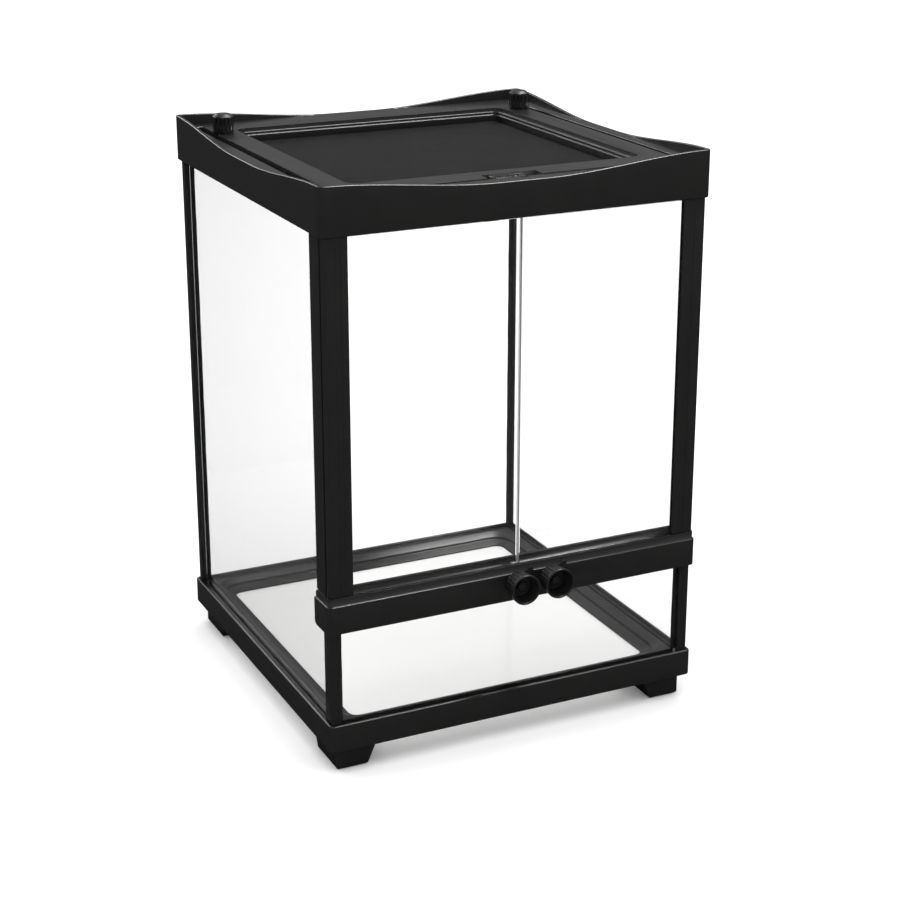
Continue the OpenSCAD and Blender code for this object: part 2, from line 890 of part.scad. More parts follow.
module top_frame() {
  low = top_z - over;
  slot_top = pane_top + bond;
  cam_room = 0.5;
  cam_depth = cam_l - lid_knob_edge - side_groove + cam_room;
  notch_half = latch_tongue_w / 2 + 1;
  notch_front = -pocket_d / 2 - latch_tongue_l - cam_room;
  notch_low = latch_floor + 0.1;
  color(black)
    placed()
      difference() {
        union() {
          block(0, corner_r, top_z, total_h);
          // Stop behind the tops of the doors
          box([-stop_half, -frame_d / 2 + post_front, top_z - 2],
              [stop_half, -frame_d / 2 + post_front + stop_t, top_z + over]);
        }
        // Above the ledge, inside the rim
        block(rim_t, corner_r - rim_t + 0.5, ledge_z, total_h + over);
        // Pocket of the lid
        plate(pocket_w, pocket_d, 4, seat_z, total_h);
        // Opening inside the flange
        block(seat_reach, 10, low, total_h);
        // Room under the flange
        block(leg_out, 6, low, seat_z - seat_t);
        // Slots of the side and back panes
        for (s = [-1, 1])
          on_side(s)
            box([-frame_w / 2 + slot_in, -frame_d / 2 + side_front - fixed_play, low],
                [-frame_w / 2 + slot_out, frame_d / 2 - slot_in, slot_top]);
        box([-frame_w / 2 + slot_out - over, frame_d / 2 - slot_out, low],
            [frame_w / 2 - slot_out + over, frame_d / 2 - slot_in, slot_top]);
        // Wave of the rim on all four sides
        for (i = [0, 2])
          rotate([0, 0, 90 * i])
            rim_wave(frame_w, frame_d);
        for (i = [1, 3])
          rotate([0, 0, 90 * i])
            rim_wave(frame_d, frame_w);
        // Bores of the upper hinge pins
        for (s = [-1, 1])
          translate([s * axis_x, axis_y, low])
            cylinder(r = pin_bore_r, h = pin_bore_l + over, $fn = 32);
        // Pockets that the lid cams turn into
        for (s = [-1, 1])
          on_side(s)
            box([-pocket_w / 2 - cam_depth, lid_knob_y - cam_l, cam_floor - cam_room],
                [-pocket_w / 2 + over, cam_rear, cam_top + cam_room]);
        // Notch and covered slot for the latch tongue
        box([notch_x - notch_half, notch_front, notch_low],
            [notch_x + notch_half, -pocket_d / 2 + over, total_h]);
        box([notch_x, notch_front, notch_low],
            [notch_x + notch_half + latch_travel, -pocket_d / 2 + over,
             notch_low + latch_tongue_t + 2 * free_gap]);
      }
}

// Lid

module lid_frame() {
  skirt_z = seat_z + free_gap;
  knob_boss_d = 11;
  rib = 1.5;
  stem_half = 2 + free_gap;
  stem_y = latch_y + latch_pocket_w / 2;
  color(black)
    placed()
      difference() {
        union() {
          // Top plate
          plate(lid_w, lid_d, 3.5, lid_under, lid_top);
          // Outer skirt
          difference() {
            plate(lid_w, lid_d, 3.5, skirt_z, lid_top - 1);
            plate(lid_w - 2 * lid_wall, lid_d - 2 * lid_wall, 1, skirt_z - over, lid_top);
          }
          // Recess wall and the shelf under the mesh
          plate(recess_w + 2 * lid_wall, recess_d + 2 * lid_wall, recess_r + lid_wall, mesh_z - shelf_t,
                lid_top - 1);
          // Bosses of the lid knobs
          for (s = [-1, 1])
            translate([s * lid_knob_x, lid_knob_y, cam_top + free_gap])
              cylinder(d = knob_boss_d, h = lid_top - 1 - cam_top - free_gap, $fn = 48);
          // Floor of the latch pocket
          box([-latch_pocket / 2 - rib, latch_y + bond, latch_floor - latch_floor_t],
              [latch_pocket / 2 + rib, latch_y + latch_pocket_w + rib, lid_top - 1]);
        }
        // Recess, down to the mesh
        plate(recess_w, recess_d, recess_r, mesh_z, lid_top + over);
        plate(recess_w - 2 * shelf_in, recess_d - 2 * shelf_in, recess_r - 4, mesh_z - shelf_t - over,
              lid_top);
        // Bores of the lid knobs' shafts
        for (s = [-1, 1])
          translate([s * lid_knob_x, lid_knob_y, cam_top - over])
            cylinder(r = lid_shaft_d / 2 + running_gap, h = lid_top - cam_top + 2 * over, $fn = 48);
        // Cuts in the skirt for the cams
        for (s = [-1, 1])
          on_side(s)
            box([-lid_w / 2 - over, cam_front - 1, skirt_z - over],
                [-lid_w / 2 + lid_wall + bond, cam_rear, cam_top + free_gap]);
        // Latch pocket, open towards the front, and the slot for the latch's stem
        box([-latch_pocket / 2, latch_y - over, latch_floor],
            [latch_pocket / 2, latch_y + latch_pocket_w, lid_top + over]);
        box([latch_x - latch_stem / 2 - free_gap, stem_y - stem_half, latch_floor - latch_floor_t - over],
            [latch_x + latch_stem / 2 + latch_travel + free_gap, stem_y + stem_half, latch_floor + over]);
      }
}

// Ring that clamps the mesh in the recess, with a bead round its top
module mesh_retainer() {
  gap = 0.6;
  w = recess_w - 2 * gap;
  d = recess_d - 2 * gap;
  r = recess_r - gap;
  top = mesh_z + mesh_t + retainer_h;
  bead = 0.8;
  bead_h = 1.2;
  lip = retainer_w - 1.4;
  color(soft_black)
    placed()
      difference() {
        union() {
          plate(w, d, r, mesh_z + mesh_t, top - bead_h);
          plate(w - 2 * bead, d - 2 * bead, r - bead, top - bead_h - 0.1, top);
        }
        plate(w - 2 * lip, d - 2 * lip, r - lip, top - 2 * bead_h, top + over);
        plate(w - 2 * retainer_w, d - 2 * retainer_w, r - retainer_w + 1, mesh_z, top + over);
      }
}

// Coarse strands side by side along X, within a sheet of the given size with rounded corners
module strands(w, d) {
  edge = retainer_w / 2;
  pitch = (d - 2 * edge) / mesh_cells;
  intersection() {
    rounded_sheet(w, d, recess_r - mesh_gap);
    for (i = [0 : mesh_cells])
      translate([-w / 2, -d / 2 + edge + i * pitch - mesh_strand / 2])
        square([w, mesh_strand]);
  }
}

// Woven insect screen, drawn coarser than it is as two crossing layers of strands
module screen_mesh() {
  w = recess_w - 2 * mesh_gap;
  d = recess_d - 2 * mesh_gap;
  layer_t = (mesh_t - layer_gap) / 2;
  color("#101010")
    placed() {
      translate([0, 0, mesh_z])
        linear_extrude(height = layer_t)
          strands(w, d);
      translate([0, 0, mesh_z + mesh_t - layer_t])
        linear_extrude(height = layer_t)
          rotate([0, 0, 90])
            strands(d, w);
    }
}

// Eight-sided lid knob with a chamfered, ribbed top
module lid_knob(side) {
  flat_r = lid_knob_d / 2;
  chamfer = 2.2;
  groove_l = 1.2;
  groove_low = 2.5;
  color(soft_black)
    placed()
      translate([side * lid_knob_x, lid_knob_y, lid_top + free_gap])
        difference() {
          intersection() {
            rotate([0, 0, 22.5])
              cylinder(r = flat_r / cos(22.5), h = lid_knob_h, $fn = 8);
            rotate_extrude($fn = 64)
              polygon([[0, 0], [flat_r, 0], [flat_r + 0.4, 1], [flat_r + 0.4, lid_knob_h - chamfer],
                       [flat_r - chamfer, lid_knob_h], [0, lid_knob_h]]);
          }
          // Two upright grooves in each of its eight sides
          for (a = [0 : 45 : 315])
            rotate([0, 0, a])
              for (k = [-1, 1])
                translate([flat_r - 0.6, k * lid_knob_d * 0.12 - groove_l / 2, groove_low])
                  cube([2, groove_l, lid_knob_h - groove_low - chamfer - 1]);
          translate([0, 0, -over])
            cylinder(d = lid_shaft_d + 2 * press_play, h = lid_socket + over, $fn = 48);
        }
}

module left_lid_knob() lid_knob(-1);
module right_lid_knob() lid_knob(1);

// Shaft of a lid knob with the cam that turns under the top frame's ledge
module lid_cam(side) {
  tip_r = 1.5;
  shaft_top = lid_top + free_gap + lid_socket - fixed_play;
  color(soft_black)
    placed()
      translate([side * lid_knob_x, lid_knob_y, cam_floor]) {
        cylinder(d = lid_shaft_d, h = shaft_top - cam_floor, $fn = 48);
        linear_extrude(height = cam_t)
          union() {
            circle(r = cam_w / 2 + 0.8, $fn = 48);
            translate([-cam_w / 2, -cam_l + tip_r])
              square([cam_w, cam_l - tip_r]);
            translate([-cam_w / 2 + tip_r, -cam_l])
              square([cam_w - 2 * tip_r, 2 * tip_r]);
            for (s = [-1, 1])
              translate([s * (cam_w / 2 - tip_r), -cam_l + tip_r])
                circle(r = tip_r, $fn = 24);
          }
      }
}

module left_lid_cam() lid_cam(-1);
module right_lid_cam() lid_cam(1);

// Sliding latch with a ribbed thumb pad and a tongue that runs into the ledge
module lid_latch() {
  z0 = latch_floor + free_gap;
  top = lid_top - 1;
  y0 = latch_y + 0.4;
  y1 = latch_y + latch_pocket_w - 0.4;
  pad_x = latch_x - latch_l / 2 + 1.2;
  pad_l = latch_l - 9;
  pitch = pad_l / latch_ribs;
  mid = (y0 + y1) / 2;
  dent_r = 2;
  dent_x = latch_x + latch_l / 2 - 4.5;
  stem_half = 2;
  foot_half = 3.2;
  foot_t = 1.2;
  foot_top = latch_floor - latch_floor_t - free_gap;
  color(soft_black)
    placed()
      union() {
        difference() {
          box([latch_x - latch_l / 2, y0, z0], [latch_x + latch_l / 2, y1, top]);
          // Round-ended recess beside the ribs
          translate([dent_x, mid - dent_r, top - 0.8])
            linear_extrude(height = 2)
              union() {
                for (y = [0, 2 * dent_r])
                  translate([0, y])
                    circle(r = dent_r, $fn = 32);
                translate([-dent_r, 0])
                  square([2 * dent_r, 2 * dent_r]);
              }
        }
        for (i = [0 : latch_ribs - 1])
          box([pad_x + i * pitch, y0 + 0.8, top - bond],
              [pad_x + i * pitch + pitch * 0.5, y1 - 0.8, lid_top + 0.6]);
        box([notch_x - latch_tongue_w / 2, latch_y - front_groove - latch_tongue_l, z0 + 0.1],
            [notch_x + latch_tongue_w / 2, y0 + over, z0 + 0.1 + latch_tongue_t]);
        // Stem and foot that hold the slide down
        box([latch_x - latch_stem / 2, mid - stem_half, foot_top - foot_t],
            [latch_x + latch_stem / 2, mid + stem_half, z0 + over]);
        box([latch_x - latch_stem / 2, mid - foot_half, foot_top - foot_t],
            [latch_x + latch_stem / 2, mid + foot_half, foot_top]);
      }
}

base_frame();
front_left_foot();
front_right_foot();
back_left_foot();
back_right_foot();
floor_glass();
floor_seal();
left_glass();
right_glass();
back_glass();
front_lower_glass();
corner_seals();
back_left_trim();
back_right_trim();
lower_left_trim();
lower_right_trim();
left_post();
right_post();
front_bar();
top_frame();
left_door_stile();
left_door_glass();
left_hinge_pins();
right_door_stile();
right_door_glass();
right_hinge_pins();
left_knob();
left_spindle();
left_spindle_nut();
right_knob();
right_spindle();
right_spindle_nut();
lid_frame();
mesh_retainer();
screen_mesh();
left_lid_knob();
left_lid_cam();
right_lid_knob();
right_lid_cam();
lid_latch();
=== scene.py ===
"""Glass terrarium with two front doors and a lift-off mesh lid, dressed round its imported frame."""
import bpy
import bmesh
import math
import numpy as np
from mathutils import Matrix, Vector


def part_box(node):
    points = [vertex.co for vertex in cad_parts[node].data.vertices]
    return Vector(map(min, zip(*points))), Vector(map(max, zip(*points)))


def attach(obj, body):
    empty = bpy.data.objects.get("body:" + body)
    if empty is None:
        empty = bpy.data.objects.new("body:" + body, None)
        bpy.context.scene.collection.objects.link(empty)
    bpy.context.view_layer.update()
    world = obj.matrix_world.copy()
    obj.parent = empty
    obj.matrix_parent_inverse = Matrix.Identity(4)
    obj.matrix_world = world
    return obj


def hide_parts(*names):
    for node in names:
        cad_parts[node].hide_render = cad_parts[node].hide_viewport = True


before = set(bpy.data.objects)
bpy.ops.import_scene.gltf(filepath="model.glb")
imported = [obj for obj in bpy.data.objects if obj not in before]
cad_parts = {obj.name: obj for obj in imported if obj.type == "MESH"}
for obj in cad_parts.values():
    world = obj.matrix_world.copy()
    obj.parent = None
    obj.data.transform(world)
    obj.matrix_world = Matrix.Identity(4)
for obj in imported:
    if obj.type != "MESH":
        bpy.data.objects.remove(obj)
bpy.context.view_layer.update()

# Base ring
# One injection-moulded ABS ring that stands on the feet and holds the glass box. An outer lip hides
# the glass slot, and a flange with two slopes lies over the floor pane's edge. The mould was spark
# eroded, so the faces are satin with a fine grain, and the rounded edges catch the light.
MM = 0.001


def linear(hex_colour):
    """Turns an sRGB colour such as #1b1b1b into the linear RGBA that a shader takes."""
    srgb = np.array([int(hex_colour[i:i + 2], 16) / 255 for i in (1, 3, 5)])
    rgb = np.where(srgb <= 0.04045, srgb / 12.92, ((srgb + 0.055) / 1.055) ** 2.4)
    return (*rgb.tolist(), 1.0)


def add(tree, kind, inputs=None, **settings):
    """Adds a node. Settings are its properties. Inputs, by name or number, are values, or sockets
    that are linked."""
    made = tree.nodes.new(kind)
    for name, value in settings.items():
        setattr(made, name, value)
    for name, value in (inputs or {}).items():
        if isinstance(value, bpy.types.NodeSocket):
            tree.links.new(value, made.inputs[name])
        else:
            made.inputs[name].default_value = value
    return made


def new_material(name):
    """A material with only its output node: the material, its node tree and the surface input."""
    made = bpy.data.materials.new(name)
    made.use_nodes = True
    made.node_tree.nodes.clear()
    return made, made.node_tree, add(made.node_tree, "ShaderNodeOutputMaterial").inputs["Surface"]


def moulded_plastic(name, colour, handled, roughness, grain_mm, grain_depth_mm, patch_mm=28):
    """Satin moulded plastic. Its grain is a bump, drawn coarser than the real one so that it shows. In
    patches that handling left, the tone goes from colour to handled, and the roughness from 0.02 below
    its value to 0.04 above it."""
    made, tree, surface = new_material(name)
    place = add(tree, "ShaderNodeTexCoord").outputs["Object"]
    grain = add(tree, "ShaderNodeTexNoise", {
        "Vector": place, "Scale": 1 / (grain_mm * MM), "Detail": 3.0, "Roughness": 0.6})
    patches = add(tree, "ShaderNodeTexNoise", {
        "Vector": place, "Scale": 1 / (patch_mm * MM), "Detail": 4.0, "Roughness": 0.55})
    gloss = add(tree, "ShaderNodeMapRange", {
        "Value": patches.outputs["Fac"], "From Min": 0.3, "From Max": 0.7,
        "To Min": roughness - 0.02, "To Max": roughness + 0.04})
    tone = add(tree, "ShaderNodeMix", {
        0: patches.outputs["Fac"], 6: linear(colour), 7: linear(handled)}, data_type="RGBA")
    bump = add(tree, "ShaderNodeBump", {
        "Height": grain.outputs["Fac"], "Distance": grain_depth_mm * MM, "Strength": 0.5})
    shader = add(tree, "ShaderNodeBsdfPrincipled", {
        "Base Color": tone.outputs[2], "Roughness": gloss.outputs["Result"],
        "Normal": bump.outputs["Normal"], "IOR": 1.49, "Specular IOR Level": 0.42})
    tree.links.new(shader.outputs[0], surface)
    return made


def rounded(corners, steps=4):
    """Closed outline with rounded corners. A corner (u, v, radius) becomes an arc that leaves its sides
    radius * tan(turn / 2) before the corner and turns about a centre one radius to the inside."""
    corners = np.asarray(corners, float)
    point, radius = corners[:, :2], corners[:, 2:]
    before = point - np.roll(point, 1, 0)
    after = np.roll(point, -1, 0) - point
    before /= np.linalg.norm(before, axis=1, keepdims=True)
    after /= np.linalg.norm(after, axis=1, keepdims=True)
    turn = np.arctan2(before[:, 0] * after[:, 1] - before[:, 1] * after[:, 0], (before * after).sum(1))
    left = np.stack([-before[:, 1], before[:, 0]], 1)
    start = point - before * radius * np.tan(np.abs(turn) / 2)[:, None]
    centre = start + left * radius * np.sign(turn)[:, None]
    spoke = (start - centre)[:, None]
    across = np.stack([-spoke[..., 1], spoke[..., 0]], -1)
    angle = (turn[:, None] * np.linspace(0, 1, steps + 1))[..., None]
    return (centre[:, None] + spoke * np.cos(angle) + across * np.sin(angle)).reshape(-1, 2)


def ring(inset_x, inset_y, height, corner, half, centre, side_steps=1, arc_steps=8):
    """A section carried round a rounded rectangle. Each point of the section, at its insets from the
    half sizes and its height, draws one rectangle with its own corner radius: corner centre plus
    radius * (cos, sin) over a quarter turn, then straight to the next corner in side_steps."""
    sign = np.array([[1, 1], [-1, 1], [-1, -1], [1, -1]])
    middle = sign * (np.stack([half[0] - inset_x, half[1] - inset_y], -1) - corner[:, None])[:, None]
    angle = np.arange(4)[:, None] * np.pi / 2 + np.linspace(0, np.pi / 2, arc_steps + 1)
    arc = np.stack([np.cos(angle), np.sin(angle)], -1)
    arc = middle[:, :, None] + corner[:, None, None, None] * arc
    share = (np.arange(1, side_steps) / side_steps)[:, None]
    side = arc[:, :, -1:] * (1 - share) + np.roll(arc, -1, 1)[:, :, :1] * share
    path = np.concatenate([arc, side], 2).reshape(len(height), -1, 2) + np.asarray(centre)[:2]
    return np.concatenate([path, np.broadcast_to(height[:, None, None], (*path.shape[:2], 1))], -1)


def skin(grid, close_rows=True, caps=False):
    """Points and faces over a grid (rows, columns, xyz): one face for each cell. Columns always close
    on themselves. Rows close too, or the first and last row are filled when caps is set."""
    rows, columns = grid.shape[:2]
    number = np.arange(rows * columns).reshape(rows, columns)
    number = np.hstack([number, number[:, :1]])
    if close_rows:
        number = np.vstack([number, number[:1]])
    cells = np.stack([number[:-1, :-1], number[:-1, 1:], number[1:, 1:], number[1:, :-1]], -1)
    faces = cells.reshape(-1, 4).tolist()
    if caps:
        faces += [number[0, :-1].tolist(), number[rows - 1, :-1].tolist()]
    return grid.reshape(-1, 3), faces


def upright(outline, low, high, edge=0.0, steps=3):
    """An outline carried upwards from low to high. Its end edges are rounded: at angle a the outline is
    drawn in by edge * (1 - sin a), along the mean of its two sides' normals, at edge * (1 - cos a)."""
    outline = np.asarray(outline, float)
    side = np.roll(outline, -1, 0) - outline
    normal = np.stack([-side[:, 1], side[:, 0]], 1) / np.linalg.norm(side, axis=1, keepdims=True)
    before = np.roll(normal, 1, 0)
    inwards = (normal + before) / (1 + (normal * before).sum(1))[:, None]
    angle = np.linspace(0, np.pi / 2, steps + 1)
    inset = edge * (1 - np.sin(angle))
    rise = edge * (1 - np.cos(angle))
    inset = np.concatenate([inset, inset[::-1]])[:, None, None]
    height = np.concatenate([low + rise, high - rise[::-1]])
    drawn = outline + inwards * inset
    return np.concatenate([drawn, np.broadcast_to(height[:, None, None], (*drawn.shape[:2], 1))], -1)


def closed_upright(outline, low, high, edge=0.0, steps=3):
    """The outline carried upwards as above, with both its ends filled, as points and faces."""
    return skin(upright(outline, low, high, edge, steps), close_rows=False, caps=True)


def surface_of(name, skins):
    """One mesh of one or more closed skins in millimetres: seams merged, faces turned outwards."""
    starts = np.cumsum([0] + [len(points) for points, faces in skins])
    faces = [[start + corner for corner in face] for start, (points, faces) in zip(starts, skins)
             for face in faces]
    mesh = bpy.data.meshes.new(name)
    mesh.from_pydata(np.concatenate([points for points, faces in skins]) * MM, [], faces)
    build = bmesh.new()
    build.from_mesh(mesh)
    bmesh.ops.remove_doubles(build, verts=build.verts, dist=0.001 * MM)
    bmesh.ops.recalc_face_normals(build, faces=build.faces)
    build.to_mesh(mesh)
    build.free()
    return mesh


def piece(name, skins, material, body, slot, *nodes, sharp=36, cuts=()):
    """Makes one object of one or more skins, less the skins in cuts, in the frame's own place, and lets
    it stand for CAD nodes. Edges that turn by more than sharp degrees stay sharp."""
    mesh = surface_of(name, skins)
    mesh.materials.append(material)
    made = bpy.data.objects.new(name, mesh)
    bpy.context.scene.collection.objects.link(made)
    if cuts:
        tool = bpy.data.objects.new("cutter", surface_of("cutter", cuts))
        bpy.context.scene.collection.objects.link(tool)
        cut = made.modifiers.new("cut", "BOOLEAN")
        cut.object, cut.operation, cut.solver, cut.use_self = tool, "DIFFERENCE", "EXACT", True
        result = made.evaluated_get(bpy.context.evaluated_depsgraph_get())
        made.data = bpy.data.meshes.new_from_object(result)
        made.modifiers.clear()
        bpy.data.objects.remove(tool)
    made.data.shade_smooth()
    made.data.set_sharp_from_angle(angle=math.radians(sharp))
    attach(made, body)
    if nodes:
        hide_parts(*nodes)
    return made


def cad_size(node):
    """Centre and half sizes of a CAD node, in millimetres."""
    low, high = (np.array(corner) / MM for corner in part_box(node))
    return (low + high) / 2, (high - low) / 2


# Satin black that looks grey where the tent is seen in it, and keeps a soft line of light on its edges
frame_plastic = moulded_plastic("moulded_ABS_black", "#141414", "#1a1a19", 0.36, 0.5, 0.012)
base_centre, base_half = cad_size("base_frame")
base_low, lip_top = base_centre[2] - base_half[2], base_centre[2] + base_half[2]
# Insets from the frames' outer faces: the lip, the slot for the glass, the leg inside it and the flange
LIP_T = 3
SLOT_NEAR, PANE_FAR, SLOT_FAR = 6.9, 11.5, 12.1
LEG_FAR = 14.5
FLANGE_REACH = 28.5
CORNER_R = 4.5
# Depths below the lip's top, and thicknesses of the slot's floor and of the flange's inner edge
LIP_STEP, FLOOR_DROP = 2.5, 10
SLOT_FLOOR_T, FLANGE_EDGE_T = 2.5, 1.4
floor_top = lip_top - FLOOR_DROP
# Each point is an inset from the outer face, a height, and the radius of the rounded edge
base_section = rounded([
    (0, base_low, 0.8), (0, lip_top, 1.3), (LIP_T, lip_top, 0.9), (LIP_T, lip_top - LIP_STEP, 0.15),
    (SLOT_NEAR, lip_top - LIP_STEP, 0.3), (SLOT_NEAR, floor_top, 0.1), (SLOT_FAR, floor_top, 0.1),
    (SLOT_FAR, lip_top - 1, 0.3), (13.5, lip_top - 1, 0.5), (19.8, lip_top - 4.2, 0.6),
    (20.5, lip_top - 6, 0.5), (FLANGE_REACH, floor_top + FLANGE_EDGE_T, 0.5), (FLANGE_REACH, floor_top, 0.3),
    (LEG_FAR, floor_top, 0.1), (LEG_FAR, base_low, 0.4), (SLOT_FAR, base_low, 0.4),
    (SLOT_FAR, floor_top - SLOT_FLOOR_T, 0.1), (LIP_T, floor_top - SLOT_FLOOR_T, 0.2),
    (LIP_T, base_low, 0.4)])
base_inset = base_section[:, 0]
# The ring's corners are tight at the lip and the slot, and wide on the flange
base_corner = np.interp(base_inset, [0, LIP_T, 5, 12.2, 13.5, FLANGE_REACH],
                        [CORNER_R, 1.5, 1, 1, 22.5, 7.5])
base_grid = ring(base_inset, base_inset, base_section[:, 1], base_corner, base_half, base_centre)
# Solid angles in the ring's corners, as long as the feet, take the feet's pegs: insets from the corner
PEG_NEAR, PEG_FAR, PEG_ALONG_X, PEG_ALONG_Y = 2.6, 14, 41, 54
peg_outline = rounded([
    (PEG_NEAR, PEG_NEAR, 1), (PEG_ALONG_X, PEG_NEAR, 0.5), (PEG_ALONG_X, PEG_FAR, 0.5),
    (PEG_FAR, PEG_FAR, 1), (PEG_FAR, PEG_ALONG_Y, 0.5), (PEG_NEAR, PEG_ALONG_Y, 0.5)])
peg_seats = []
for x_sign in (-1, 1):
    for y_sign in (-1, 1):
        outline = base_centre[:2] + np.array([x_sign, y_sign]) * (base_half[:2] - peg_outline)
        # A mirrored outline is read backwards, so that it still runs anticlockwise
        peg_seats.append(closed_upright(outline[::x_sign * y_sign], base_low, floor_top - 1, 0.3))
piece("base_ring", [skin(base_grid), *peg_seats], frame_plastic, "housing", "black_plastic", "base_frame")

# Feet
# Four polypropylene feet, tapered on their inner sides and pressed up into the base ring with two pegs
# each. They are moulded, like the trims, in a slightly duller plastic than the ring.
trim_plastic = moulded_plastic("moulded_PP_black", "#121212", "#181818", 0.38, 0.5, 0.02)


def moulded_copy(name, node, material, body, edge_mm):
    """A welded copy of a CAD piece. Its outer edges, where the faces turn away from each other by more
    than 32 degrees, are rounded by edge_mm, as a mould leaves them. Its inner corners stay tight."""
    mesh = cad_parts[node].data.copy()
    build = bmesh.new()
    build.from_mesh(mesh)
    bmesh.ops.remove_doubles(build, verts=build.verts, dist=0.002 * MM)
    bmesh.ops.dissolve_degenerate(build, edges=build.edges, dist=0.001 * MM)
    bmesh.ops.dissolve_limit(build, angle_limit=math.radians(0.6), verts=build.verts, edges=build.edges)
    weight = build.edges.layers.float.new("bevel_weight_edge")
    for edge in build.edges:
        edge[weight] = float(edge.calc_face_angle_signed(0) > math.radians(32))
    build.to_mesh(mesh)
    build.free()
    mesh.materials.clear()
    mesh.materials.append(material)
    mesh.shade_smooth()
    made = bpy.data.objects.new(name, mesh)
    bpy.context.scene.collection.objects.link(made)
    rounding = made.modifiers.new("moulded_edge", "BEVEL")
    rounding.width = edge_mm * MM
    rounding.segments = 3
    rounding.limit_method = "WEIGHT"
    rounding.harden_normals = True
    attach(made, body)
    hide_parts(node)
    return made


for corner in ("front_left", "front_right", "back_left", "back_right"):
    foot = f"{corner}_foot"
    moulded_copy(f"{foot}_shell", foot, trim_plastic, "housing", 0.6)

# Glass panes
# Clear float glass, cut to size, with its edges ground by a belt and a small arris along each. The faces
# are nearly invisible. The panes stand in the slot of the base ring, and the floor pane lies inside it.


def float_glass(name, tint, smear, dust=0.0, smear_mm=45):
    """Clear float glass: refracting for the eye, and open to the light that falls on matt faces, so that
    the inside is lit evenly. The share dust of it is covered with fine pale dust."""
    made, tree, surface = new_material(name)
    place = add(tree, "ShaderNodeTexCoord").outputs["Object"]
    wipe = add(tree, "ShaderNodeTexNoise", {
        "Vector": place, "Scale": 1 / (smear_mm * MM), "Detail": 5.0, "Roughness": 0.6})
    film = add(tree, "ShaderNodeMapRange", {
        "Value": wipe.outputs["Fac"], "From Min": 0.35, "From Max": 0.75, "To Min": 0.0, "To Max": smear})
    glass = add(tree, "ShaderNodeBsdfPrincipled", {
        "Base Color": linear(tint), "Roughness": film.outputs["Result"], "IOR": 1.5,
        "Transmission Weight": 1.0})
    clear = add(tree, "ShaderNodeBsdfTransparent", {"Color": linear(tint)})
    rays = add(tree, "ShaderNodeLightPath")
    powder = add(tree, "ShaderNodeBsdfPrincipled", {
        "Base Color": linear("#f7f7f6"), "Roughness": 0.08, "IOR": 1.5})
    dusty = add(tree, "ShaderNodeMixShader", {0: dust, 1: glass.outputs[0], 2: powder.outputs[0]})
    unseen = add(tree, "ShaderNodeMath", {
        0: rays.outputs["Is Shadow Ray"], 1: rays.outputs["Is Diffuse Ray"]}, operation="MAXIMUM")
    open_glass = add(tree, "ShaderNodeMixShader", {
        0: unseen.outputs[0], 1: dusty.outputs[0], 2: clear.outputs[0]})
    tree.links.new(open_glass.outputs[0], surface)
    return made


# Smears left by wiping blur the reflections a little here and there
pane_glass = float_glass("float_glass_clear", "#fefefe", 0.02)
# The floor pane is covered, 92 parts in 100, by a near-white matt layer, so it reads as an even pale grey.
# Its grey tint is partly the glass's own colour and partly painted shade: it is darker than the other panes'
# so that it stands for the shade inside the box.
floor_glass = float_glass("float_glass_floor_shade_tint", "#f2f3f2", 0.04, 0.92)
# Belt-ground edges: a matt pale grey, with scratches drawn as wide as they need to be to show
ground_edge, tree, surface = new_material("ground_glass_edge")
place = add(tree, "ShaderNodeTexCoord").outputs["Object"]
scratches = add(tree, "ShaderNodeTexNoise", {"Vector": place, "Scale": 1 / (0.6 * MM), "Detail": 2.0})
bump = add(tree, "ShaderNodeBump", {
    "Height": scratches.outputs["Fac"], "Distance": 0.02 * MM, "Strength": 0.6})
shader = add(tree, "ShaderNodeBsdfPrincipled", {
    "Base Color": linear("#aaaeac"), "Roughness": 0.55, "IOR": 1.5, "Transmission Weight": 0.25,
    "Normal": bump.outputs["Normal"]})
tree.links.new(shader.outputs[0], surface)


def pane(name, node, body, material, corner=0.4, corner_steps=2, arris=0.35):
    """A glass pane of the CAD node's size: its outline carried across its thin axis, with a flat arris of
    45 degrees along both faces. The flats of its upright edges are ground, and the arrises stay clear."""
    centre, half = cad_size(node)
    thin = int(np.argmin(half))
    wide = [axis for axis in range(3) if axis != thin]
    u, v = half[wide]
    outline = rounded([(-u, -v, corner), (u, -v, corner), (u, v, corner), (-u, v, corner)], corner_steps)
    grid = upright(outline, -half[thin], half[thin], arris, 1)
    grid = grid[..., np.argsort([*wide, thin])] + centre
    sheet = skin(grid, close_rows=False, caps=True)
    made = piece(name, [sheet], material, body, "pane_glass", node, sharp=20)
    made.data.materials.append(ground_edge)
    normal = np.empty(3 * len(made.data.polygons), np.float32)
    made.data.polygons.foreach_get("normal", normal)
    ground = (np.abs(normal[thin::3]) < 0.4) & (np.abs(normal[2::3]) < 0.5)
    made.data.polygons.foreach_set("material_index", ground.astype(np.int32))
    return made


pane("floor_pane", "floor_glass", "housing", floor_glass, corner=21, corner_steps=10)
for node in ("left_glass", "right_glass", "back_glass", "front_lower_glass"):
    pane(node.replace("glass", "pane"), node, "housing", pane_glass)

# Silicone
# Black silicone, run in by hand and drawn off with a wet finger: hollow fillets up the corners of the
# glass box, and a bead under the floor pane's edge. It cures smooth, and a little greyer than the plastic.
silicone = moulded_plastic("cured_silicone_black", "#1a1a1a", "#222222", 0.4, 1.5, 0.05)
FILLET_LEG = 2.6
# Thickness of the joint between two panes, and what its silicone leaves free on either side
JOINT, TOUCH = 0.3, 0.015
# How far a joint reaches under the fillet, and how far it ends short of the pane's outer face
UNDER_FILLET, END_SHORT = 0.3, 0.1


